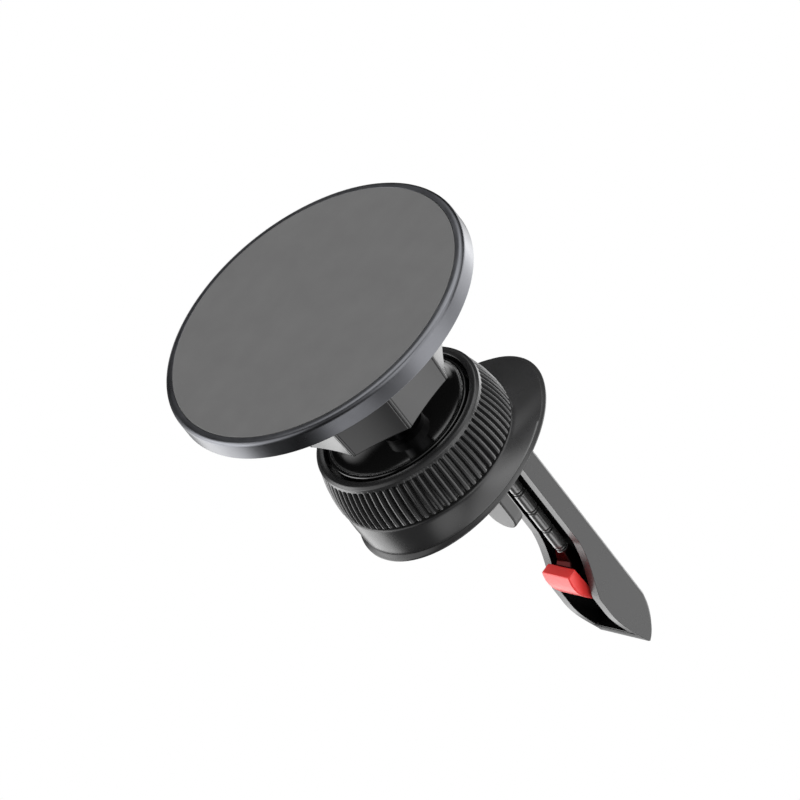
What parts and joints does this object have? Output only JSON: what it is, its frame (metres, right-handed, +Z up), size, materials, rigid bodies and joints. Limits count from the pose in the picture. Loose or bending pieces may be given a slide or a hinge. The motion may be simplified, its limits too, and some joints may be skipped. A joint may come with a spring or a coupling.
{
  "type": "car phone mount",
  "caption": "Magnetic phone mount for a car's air vent: round magnetic disc on a ball joint, ribbed clamping nut, oval body and a beak with a sliding hook.",
  "frame": {"origin": "centre of the phone face", "axes": "+Y from the phone face back into the vent along the nut's axis, +Z up with the beak's roof on top, +X across the vent blade"},
  "size_m": [0.058, 0.098, 0.058],
  "materials": {
    "soft_pad": "matte",
    "anodised_rim": "satin",
    "dark_plastic": "satin",
    "gloss_black": "gloss",
    "beak_plastic": "satin",
    "inner_plastic": "matte",
    "nylon": "matte",
    "steel": "satin",
    "magnet": "satin",
    "brass": "satin",
    "black_steel": "satin",
    "rod_metal": "satin",
    "red_tip": "satin",
    "foot_rubber": "matte"
  },
  "bodies": {
    "body": {"ball_stud": "black_steel", "dish_cap": "gloss_black", "spindle": "steel", "thrust_washer": "nylon", "base_housing": "dark_plastic", "back_cover": "beak_plastic", "cover_screws": "steel", "beak_channel": "beak_plastic", "beak_screws": "steel", "bumper_posts": "dark_plastic", "bumper_caps": "foot_rubber"},
    "nut": {"knurled_ring": "dark_plastic", "threaded_sleeve": "brass"},
    "hook": {"drive_carriage": "steel", "hook_rod": "rod_metal", "rod_screw": "steel", "hook_core": "steel", "hook_tip": "red_tip"},
    "cup": {"ball_cup": "nylon"},
    "collar": {"lock_collar": "dark_plastic"},
    "disc": {"front_pad": "soft_pad", "rim_ring": "anodised_rim", "magnet_carrier": "inner_plastic", "magnets": "magnet", "steel_shim": "steel", "socket_base": "inner_plastic", "plate_screws": "steel"}
  },
  "joints": [
    {"name": "ball_pan", "type": "hinge", "parent": "body", "child": "cup", "pos_m": [0, 0.013, 0], "axis": [0, 0, 1], "range_deg": [-18, 18]},
    {"name": "ball_tilt", "type": "hinge", "parent": "cup", "child": "collar", "pos_m": [0, 0.013, 0], "axis": [1, 0, 0], "range_deg": [-18, 18]},
    {"name": "disc_roll", "type": "hinge", "parent": "collar", "child": "disc", "pos_m": [0, 0.013, 0], "axis": [0, 1, 0], "continuous": true},
    {"name": "nut_spin", "type": "hinge", "parent": "body", "child": "nut", "pos_m": [0, 0.03, 0], "axis": [0, 1, 0], "range_deg": [-900, 360]},
    {"name": "hook_slide", "type": "slide", "parent": "body", "child": "hook", "axis": [0, 1, 0], "range_m": [-0.005, 0.002]}
  ],
  "couplings": [
    {"joint": "hook_slide", "follows": "nut_spin", "m_per_rad": 0.0003183}
  ]
}
